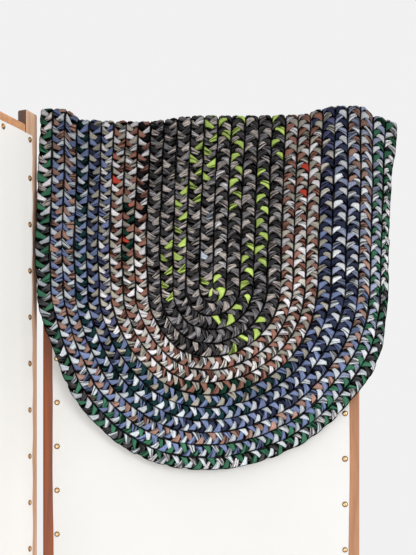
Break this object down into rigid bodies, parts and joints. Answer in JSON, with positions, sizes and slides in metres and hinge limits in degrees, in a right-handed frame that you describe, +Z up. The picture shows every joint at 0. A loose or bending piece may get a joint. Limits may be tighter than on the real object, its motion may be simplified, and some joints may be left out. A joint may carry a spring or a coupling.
{
  "type": "braided rag rug on a folding screen",
  "caption": "Oval rug braided and coiled from fabric strips, folded over the top of one panel of a hinged wood and canvas folding screen that stands on the floor.",
  "frame": {"origin": "on the floor, under the middle of the whole object's box", "axes": "+Z up; the middle panel that carries the rug runs along X and its canvas faces -Y; the side panel turns towards -Y on the -X side"},
  "size_m": [0.8332, 0.5504, 1.7127],
  "materials": {
    "braided_cotton": "matt braided jersey strips in many colours",
    "oiled_wood": "oiled, fine grain",
    "cream_canvas": "plain woven, matt",
    "aged_brass": "worn satin"
  },
  "bodies": {
    "root": {"rug": "braided_cotton", "mid_post_left": "oiled_wood", "mid_post_right": "oiled_wood", "mid_rail_top": "oiled_wood", "mid_rail_bottom": "oiled_wood", "mid_canvas": "cream_canvas", "side_post_outer": "oiled_wood", "side_post_inner": "oiled_wood", "side_rail_top": "oiled_wood", "side_rail_bottom": "oiled_wood", "side_canvas": "cream_canvas", "hinge_top": "aged_brass", "hinge_middle": "aged_brass", "hinge_bottom": "aged_brass"}
  },
  "joints": []
}
